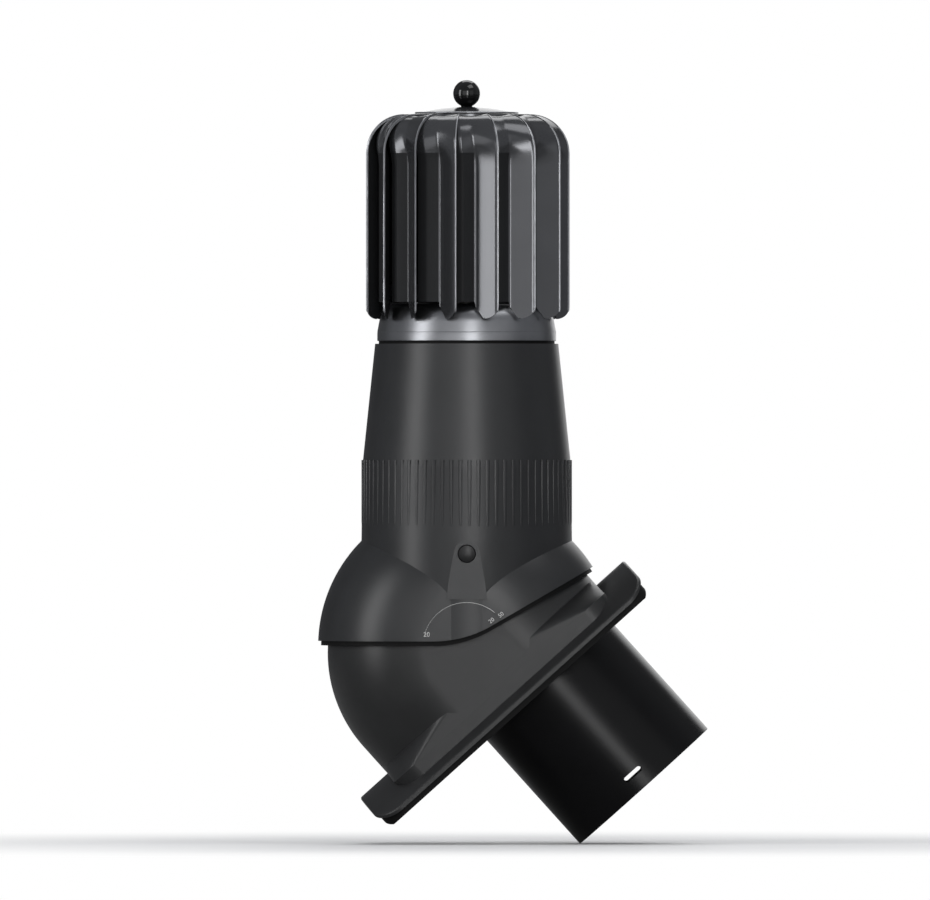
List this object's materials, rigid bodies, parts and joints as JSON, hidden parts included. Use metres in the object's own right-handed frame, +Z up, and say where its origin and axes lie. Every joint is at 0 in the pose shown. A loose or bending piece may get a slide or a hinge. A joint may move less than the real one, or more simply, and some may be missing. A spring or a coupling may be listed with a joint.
{
  "type": "roof turbine ventilator",
  "caption": "Roof turbine ventilator: spinning bladed head on an insulated stack that tilts in a ball joint on an arched roof plate with a duct spigot.",
  "frame": {"origin": "where the axis of the duct spigot crosses the plane on which the roof seal sits", "axes": "+Z up along the upright stack, +X horizontal and towards the ridge of a roof that slopes 42 degrees, -Y towards the viewer of the picture"},
  "size_m": [0.3393, 0.192, 0.6657],
  "materials": {
    "grey_plastic": "dark grey moulded plastic, satin",
    "black_spigot": "black satin plastic pipe",
    "black_rubber": "black rubber",
    "blade_metal": "dark grey painted sheet, semi-gloss",
    "neck_metal": "grey metallic paint, glossy",
    "finial_black": "gloss black",
    "button_black": "gloss black",
    "housing_plastic": "black plastic",
    "pipe_metal": "plain aluminium pipe",
    "insulation": "pale insulation felt",
    "steel": "zinc plated steel",
    "bearing_steel": "polished bearing steel"
  },
  "bodies": {
    "roof_base": {"base_dome": "grey_plastic", "roof_seal": "black_rubber", "duct_spigot": "black_spigot", "spigot_screws": "steel", "pitch_sector_front": "steel", "pitch_sector_rear": "steel", "sector_screws": "steel"},
    "stack": {"outer_casing": "grey_plastic", "hood_seal": "black_rubber", "riser_pipe": "pipe_metal", "insulation_sleeve": "insulation", "flange_screws": "steel", "neck_gasket": "black_rubber", "neck_collar": "neck_metal", "neck_screws": "steel", "axle_bracket": "steel", "rotor_axle": "steel", "axle_nuts": "steel", "bearing_spacer": "steel", "lower_bearing_inner": "bearing_steel", "upper_bearing_inner": "bearing_steel", "tilt_arm_front": "steel", "tilt_arm_rear": "steel", "tilt_pin_front": "steel", "tilt_pin_rear": "steel", "front_button_housing": "housing_plastic", "rear_button_housing": "housing_plastic", "front_button_spring": "steel", "rear_button_spring": "steel"},
    "rotor": {"rotor_hub": "steel", "hub_screws": "steel", "rotor_crown": "blade_metal", "rotor_cap": "blade_metal", "finial_ball": "finial_black", "finial_nut": "steel", "lower_bearing_outer": "bearing_steel", "upper_bearing_outer": "bearing_steel", "lower_bearing_balls": "bearing_steel", "upper_bearing_balls": "bearing_steel", "lower_ring": "blade_metal", "blade_01": "blade_metal", "blade_02": "blade_metal", "blade_03": "blade_metal", "blade_04": "blade_metal", "blade_05": "blade_metal", "blade_06": "blade_metal", "blade_07": "blade_metal", "blade_08": "blade_metal", "blade_09": "blade_metal", "blade_10": "blade_metal", "blade_11": "blade_metal", "blade_12": "blade_metal", "blade_13": "blade_metal", "blade_14": "blade_metal", "blade_15": "blade_metal"},
    "front_lock": {"front_button": "button_black", "front_lock_stem": "steel"},
    "rear_lock": {"rear_button": "button_black", "rear_lock_stem": "steel"}
  },
  "joints": [
    {"name": "roof_tilt", "type": "hinge", "parent": "roof_base", "child": "stack", "pos_m": [-0.07301, 0, 0.03222], "axis": [0, 1, 0], "range_deg": [-22, 3]},
    {"name": "rotor_spin", "type": "hinge", "parent": "stack", "child": "rotor", "pos_m": [-0.07301, 0, 0.43222], "axis": [0, 0, 1], "continuous": true},
    {"name": "front_press", "type": "slide", "parent": "stack", "child": "front_lock", "axis": [0, 1, 0], "range_m": [0, 0.005], "stiffness_N_per_m": 800, "springref_m": -0.004, "deforming": ["front_button_spring"]},
    {"name": "rear_press", "type": "slide", "parent": "stack", "child": "rear_lock", "axis": [0, -1, 0], "range_m": [0, 0.005], "stiffness_N_per_m": 800, "springref_m": -0.004, "deforming": ["rear_button_spring"]}
  ]
}
